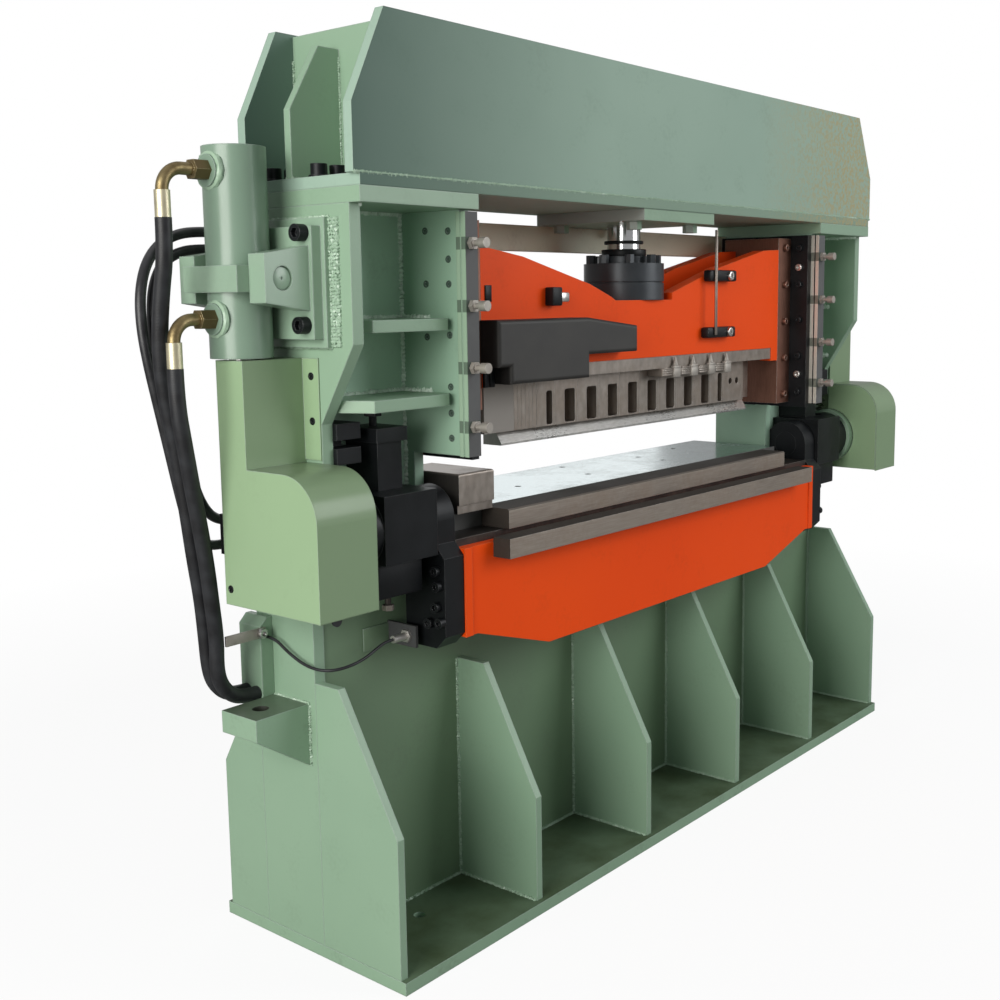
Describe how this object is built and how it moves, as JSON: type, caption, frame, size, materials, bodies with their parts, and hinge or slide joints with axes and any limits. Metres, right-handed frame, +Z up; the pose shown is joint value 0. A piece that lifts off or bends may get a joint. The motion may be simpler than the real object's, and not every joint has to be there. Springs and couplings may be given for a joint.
{
  "type": "sheet metal flanging machine",
  "caption": "Welded floor-standing flanging machine with a hydraulic clamp beam over a table and a swinging fold beam that bends the sheet edge.",
  "frame": {"origin": "middle of the base plate's underside, on the floor", "axes": "+X along the machine to the right, -Y towards the operator at the front, +Z up"},
  "size_m": [3.009, 0.62, 2.1],
  "materials": {
    "green_paint": "satin grey-green paint",
    "orange_paint": "satin orange paint",
    "black_steel": "black oxide",
    "tool_steel": "browned tool steel",
    "bright_steel": "ground steel",
    "polished_steel": "polished",
    "bronze": "turned bronze",
    "brass": "dull yellow-passivated fittings",
    "rubber": "black rubber",
    "conduit_plastic": "black corrugated plastic",
    "dark_housing": "dark anodised"
  },
  "bodies": {
    "machine_frame": {"base_plate": "green_paint", "base_long_plates": "green_paint", "base_ribs": "green_paint", "end_ribs": "green_paint", "column_side_plates": "green_paint", "column_inner_plates": "green_paint", "column_webs": "green_paint", "column_shelves": "green_paint", "column_head_plates": "green_paint", "bed_plate": "green_paint", "beam_flange": "green_paint", "beam_side_plates": "green_paint", "beam_end_plates": "green_paint", "beam_top_plate": "green_paint", "rear_tie_bar": "green_paint", "cylinder_mount": "green_paint", "clamp_cylinder": "green_paint", "trunnion_brackets": "green_paint", "trunnion_collars": "green_paint", "drive_cylinders": "green_paint", "drive_covers": "green_paint", "side_lugs": "green_paint", "hose_blocks": "green_paint", "table_plate": "polished_steel", "side_stop": "bright_steel", "beam_bolts": "black_steel", "guide_rails": "tool_steel", "gib_bars": "tool_steel", "gib_screws": "bright_steel", "bearing_housings": "black_steel", "shaft_bushes": "bronze", "housing_adjusters": "black_steel", "trunnion_bolts": "black_steel", "port_fittings": "brass", "rack_guides": "black_steel", "proximity_switch": "bright_steel", "upper_hose": "rubber", "lower_hose": "rubber", "outer_conduit": "conduit_plastic", "inner_conduit": "conduit_plastic", "switch_cable": "rubber"},
    "clamp_beam": {"clamp_plates": "orange_paint", "clamp_saddle": "orange_paint", "clamp_slides": "tool_steel", "tool_holder": "tool_steel", "tool_segments": "tool_steel", "nose_blade": "bright_steel", "clamp_ram": "bright_steel", "ram_coupling": "black_steel", "segment_drive": "dark_housing"},
    "fold_beam": {"fold_apron": "orange_paint", "fold_core": "black_steel", "fold_blade": "tool_steel", "lower_bar": "tool_steel", "fold_shafts": "bright_steel", "end_arms": "black_steel", "arm_bolts": "black_steel", "pinions": "bright_steel"},
    "left_drive": {"left_rack": "bright_steel"},
    "right_drive": {"right_rack": "bright_steel"}
  },
  "joints": [
    {"name": "clamp_slide", "type": "slide", "parent": "machine_frame", "child": "clamp_beam", "axis": [0, 0, -1], "range_m": [0, 0.139]},
    {"name": "fold_swing", "type": "hinge", "parent": "machine_frame", "child": "fold_beam", "pos_m": [0, -0.103, 1], "axis": [-1, 0, 0], "range_deg": [0, 90]},
    {"name": "left_rack_slide", "type": "slide", "parent": "machine_frame", "child": "left_drive", "axis": [0, 0, -1], "range_m": [0, 0.1414]},
    {"name": "right_rack_slide", "type": "slide", "parent": "machine_frame", "child": "right_drive", "axis": [0, 0, -1], "range_m": [0, 0.1414]}
  ],
  "couplings": [
    {"joint": "left_rack_slide", "follows": "fold_swing", "m_per_rad": 0.09},
    {"joint": "right_rack_slide", "follows": "fold_swing", "m_per_rad": 0.09}
  ]
}
